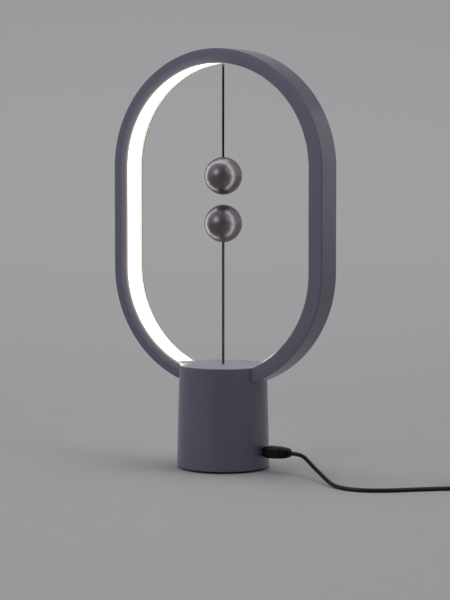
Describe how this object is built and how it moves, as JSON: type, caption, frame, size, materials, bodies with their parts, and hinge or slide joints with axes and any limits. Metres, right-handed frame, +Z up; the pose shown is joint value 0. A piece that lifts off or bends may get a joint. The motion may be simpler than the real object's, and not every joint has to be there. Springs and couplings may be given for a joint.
{
  "type": "magnetic balance lamp",
  "caption": "Table lamp with a glowing oval ring on a round base; a magnetic ball on a cord from the base floats under one that hangs from the ring and works the switch.",
  "frame": {"origin": "on the table, under the middle of the base", "axes": "+Z up, the ring in the XZ plane, the front towards -Y, the plug on the +X side"},
  "size_m": [0.3986, 0.1718, 0.4],
  "materials": {
    "ring_front_plastic": "satin slate grey, fine moulded grain",
    "ring_back_plastic": "satin slate grey, fine moulded grain",
    "base_plastic": "satin slate grey, fine moulded grain",
    "lit_diffuser": "milky, glowing warm white",
    "strip_board": "white solder mask",
    "light_chip": "yellow phosphor",
    "eyelet_metal": "satin",
    "bracket_steel": "zinc plated",
    "spring_steel": "drawn wire",
    "screw_steel": "zinc plated",
    "inner_plastic": "moulded, matt",
    "plunger_plastic": "nylon",
    "dark_plastic": "moulded, matt",
    "foot_rubber": "matt dark grey",
    "ballast_iron": "as cast",
    "circuit_board": "green solder mask",
    "connector_plastic": "moulded",
    "component_plastic": "moulded",
    "socket_metal": "nickel plated",
    "ball_plastic": "satin metallic grey lacquer",
    "magnet_metal": "nickel plated",
    "bead_metal": "satin",
    "cord_fabric": "twisted dark grey thread",
    "wire_jacket": "thin insulation",
    "cable_jacket": "satin black jacket",
    "tie_plastic": "woven hook and loop band"
  },
  "bodies": {
    "stand": {"ring_housing": "ring_back_plastic", "ring_front_cover": "ring_front_plastic", "light_diffuser": "lit_diffuser", "led_strip": "strip_board", "led_chips": "light_chip", "upper_eyelet": "eyelet_metal", "cord_bridge": "bracket_steel", "upper_hanger_pin": "bracket_steel", "base_shell": "base_plastic", "slot_cover": "base_plastic", "cord_guide_tube": "base_plastic", "ring_saddle": "inner_plastic", "saddle_screws": "screw_steel", "ring_screws": "screw_steel", "bracket_screws": "screw_steel", "base_plate_screws": "screw_steel", "base_plate": "inner_plastic", "foot_pad": "foot_rubber", "ballast_weight": "ballast_iron", "control_board": "circuit_board", "board_screws": "screw_steel", "wire_connectors": "connector_plastic", "board_components": "component_plastic", "power_socket": "socket_metal", "socket_tongue": "dark_plastic", "switch_bracket": "bracket_steel", "plunger_bush": "inner_plastic", "return_spring": "spring_steel", "microswitch_body": "dark_plastic", "light_wires": "wire_jacket", "switch_wires": "wire_jacket"},
    "upper_link": {"upper_swivel_bead": "bead_metal"},
    "upper_ball": {"upper_ball_top_shell": "ball_plastic", "upper_ball_bottom_shell": "ball_plastic", "upper_ball_magnet": "magnet_metal", "upper_ball_magnet_holder": "inner_plastic", "upper_ball_cord_knot": "cord_fabric", "upper_cord": "cord_fabric"},
    "plunger": {"switch_plunger": "plunger_plastic", "lower_cord_tail": "cord_fabric"},
    "lower_link": {"lower_cord_bend": "cord_fabric"},
    "lower_ball": {"lower_ball_top_shell": "ball_plastic", "lower_ball_bottom_shell": "ball_plastic", "lower_ball_magnet": "magnet_metal", "lower_ball_magnet_holder": "inner_plastic", "lower_ball_cord_knot": "cord_fabric", "lower_cord": "cord_fabric"},
    "lever": {"microswitch_lever": "spring_steel"},
    "power_plug": {"plug_shell": "socket_metal", "plug_grip": "cable_jacket", "plug_strain_relief": "cable_jacket", "power_cable": "cable_jacket", "cable_coil": "cable_jacket", "coil_tie": "tie_plastic", "cable_tail": "cable_jacket", "host_plug_grip": "cable_jacket", "host_plug_shell": "socket_metal", "host_plug_tongue": "connector_plastic"}
  },
  "joints": [
    {"name": "upper_swing_sideways", "type": "hinge", "parent": "stand", "child": "upper_link", "pos_m": [0, 0, 0.3841], "axis": [0, 1, 0], "range_deg": [-45, 45]},
    {"name": "upper_swing_forwards", "type": "hinge", "parent": "upper_link", "child": "upper_ball", "pos_m": [0, 0, 0.3841], "axis": [1, 0, 0], "range_deg": [-70, 70]},
    {"name": "plunger_travel", "type": "slide", "parent": "stand", "child": "plunger", "axis": [0, 0, 1], "range_m": [-0.003, 0], "stiffness_N_per_m": 400, "springref_m": 0.003, "deforming": ["return_spring"]},
    {"name": "lower_swing_sideways", "type": "hinge", "parent": "plunger", "child": "lower_link", "pos_m": [0, 0, 0.1032], "axis": [0, 1, 0], "range_deg": [-32, 32], "stiffness_Nm_per_rad": 0.15},
    {"name": "lower_swing_forwards", "type": "hinge", "parent": "lower_link", "child": "lower_ball", "pos_m": [0, 0, 0.1032], "axis": [1, 0, 0], "range_deg": [-65, 65], "stiffness_Nm_per_rad": 0.15},
    {"name": "lever_turn", "type": "hinge", "parent": "stand", "child": "lever", "pos_m": [0.02, 0, 0.05235], "axis": [0, 1, 0], "range_deg": [-11.5, 0]},
    {"name": "plug_pull", "type": "slide", "parent": "stand", "child": "power_plug", "axis": [1, 0, 0], "range_m": [0, 0.012]}
  ],
  "couplings": [
    {"joint": "lever_turn", "follows": "plunger_travel", "rad_per_m": 65}
  ]
}
